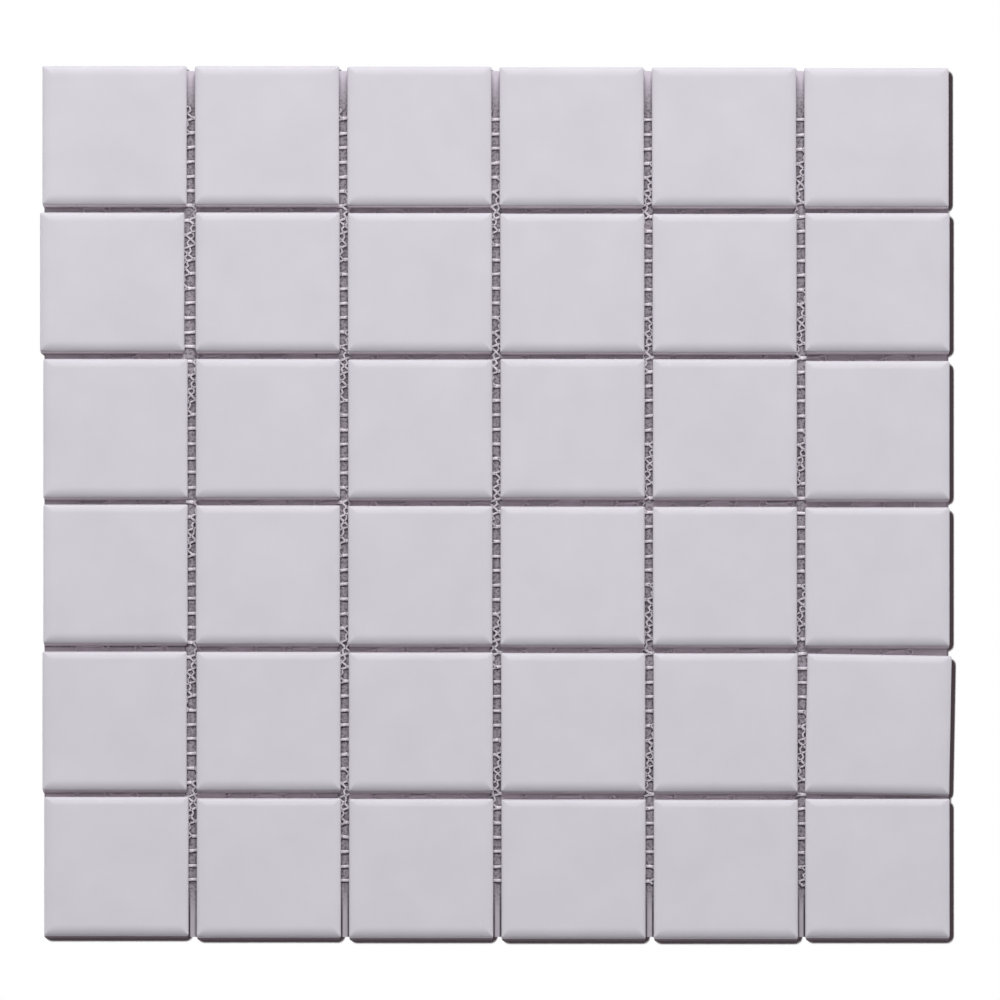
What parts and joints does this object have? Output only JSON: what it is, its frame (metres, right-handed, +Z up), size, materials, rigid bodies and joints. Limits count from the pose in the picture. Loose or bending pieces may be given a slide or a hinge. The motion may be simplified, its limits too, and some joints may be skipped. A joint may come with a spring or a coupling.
{
  "type": "mosaic tile sheet",
  "caption": "Square sheet of small glazed ceramic tiles with rounded edges, evenly spaced and held by a thin fibre net glued across their backs.",
  "frame": {"origin": "middle of the underside of the sheet, on the surface it lies on", "axes": "+Z up through the glazed faces, +Y towards row 1 (the top row in the picture), +X to the right"},
  "size_m": [0.3052, 0.304, 0.0066],
  "materials": {
    "glazed_porcelain": "glossy pale lavender-grey glaze over a white body",
    "net_fibre": "matt off-white fibre yarn"
  },
  "bodies": {
    "root": {"tile_row1_column1": "glazed_porcelain", "tile_row1_column2": "glazed_porcelain", "tile_row1_column3": "glazed_porcelain", "tile_row1_column4": "glazed_porcelain", "tile_row1_column5": "glazed_porcelain", "tile_row1_column6": "glazed_porcelain", "tile_row2_column1": "glazed_porcelain", "tile_row2_column2": "glazed_porcelain", "tile_row2_column3": "glazed_porcelain", "tile_row2_column4": "glazed_porcelain", "tile_row2_column5": "glazed_porcelain", "tile_row2_column6": "glazed_porcelain", "tile_row3_column1": "glazed_porcelain", "tile_row3_column2": "glazed_porcelain", "tile_row3_column3": "glazed_porcelain", "tile_row3_column4": "glazed_porcelain", "tile_row3_column5": "glazed_porcelain", "tile_row3_column6": "glazed_porcelain", "tile_row4_column1": "glazed_porcelain", "tile_row4_column2": "glazed_porcelain", "tile_row4_column3": "glazed_porcelain", "tile_row4_column4": "glazed_porcelain", "tile_row4_column5": "glazed_porcelain", "tile_row4_column6": "glazed_porcelain", "tile_row5_column1": "glazed_porcelain", "tile_row5_column2": "glazed_porcelain", "tile_row5_column3": "glazed_porcelain", "tile_row5_column4": "glazed_porcelain", "tile_row5_column5": "glazed_porcelain", "tile_row5_column6": "glazed_porcelain", "tile_row6_column1": "glazed_porcelain", "tile_row6_column2": "glazed_porcelain", "tile_row6_column3": "glazed_porcelain", "tile_row6_column4": "glazed_porcelain", "tile_row6_column5": "glazed_porcelain", "tile_row6_column6": "glazed_porcelain", "net_lengthwise_yarns": "net_fibre", "net_crosswise_yarns": "net_fibre"}
  },
  "joints": []
}
